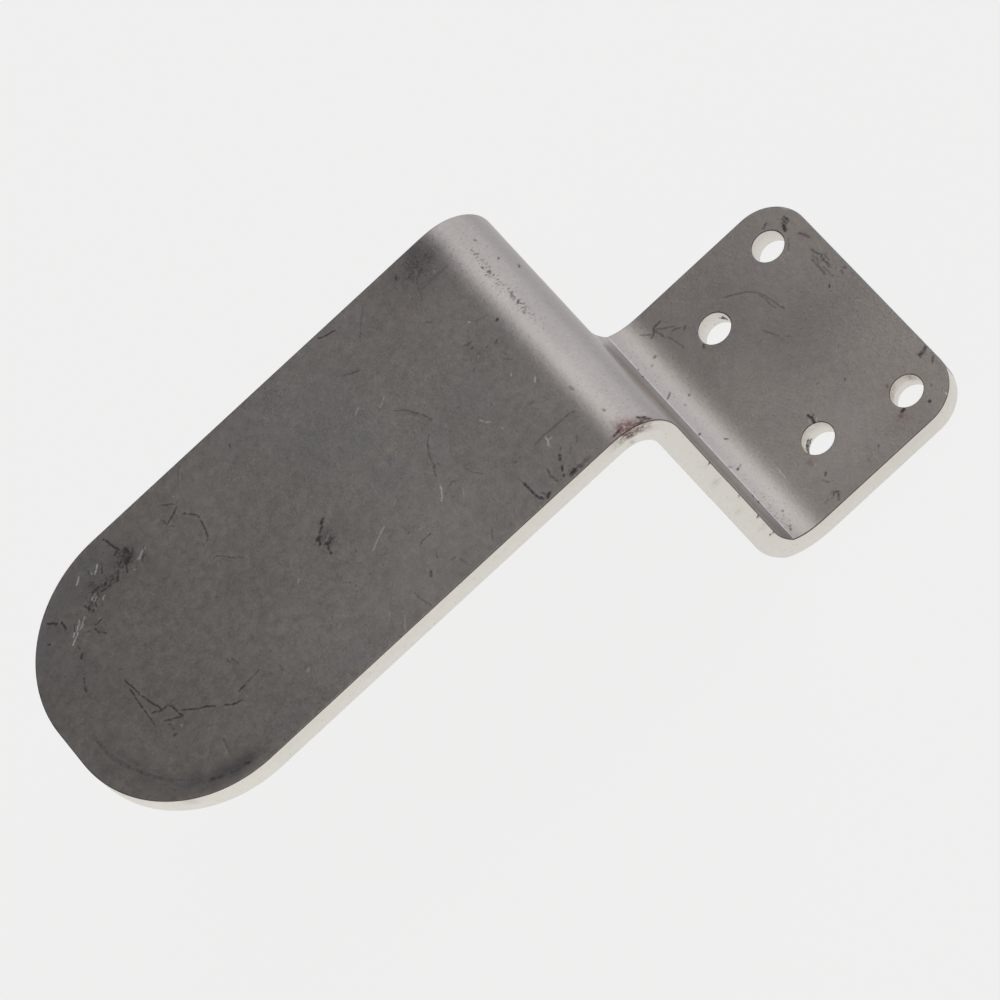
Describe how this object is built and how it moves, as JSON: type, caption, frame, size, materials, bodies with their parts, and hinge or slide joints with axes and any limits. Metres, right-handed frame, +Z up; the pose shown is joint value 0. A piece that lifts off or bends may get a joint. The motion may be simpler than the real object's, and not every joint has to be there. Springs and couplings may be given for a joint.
{
  "type": "bonnet tab",
  "caption": "Pressed steel bonnet tab: a short drilled base with rounded corners, an upright riser and a long level tongue with a round end.",
  "frame": {"origin": "the middle of the hole pattern, on the underside of the base", "axes": "+X along the base away from the riser, so the tongue points to -X; +Y across the strip; +Z up, square to the base"},
  "size_m": [0.1095, 0.042, 0.0455],
  "materials": {
    "steel": "dull bare steel, scuffed and spotted"
  },
  "bodies": {
    "root": {"bonnet_tab": "steel"}
  },
  "joints": []
}
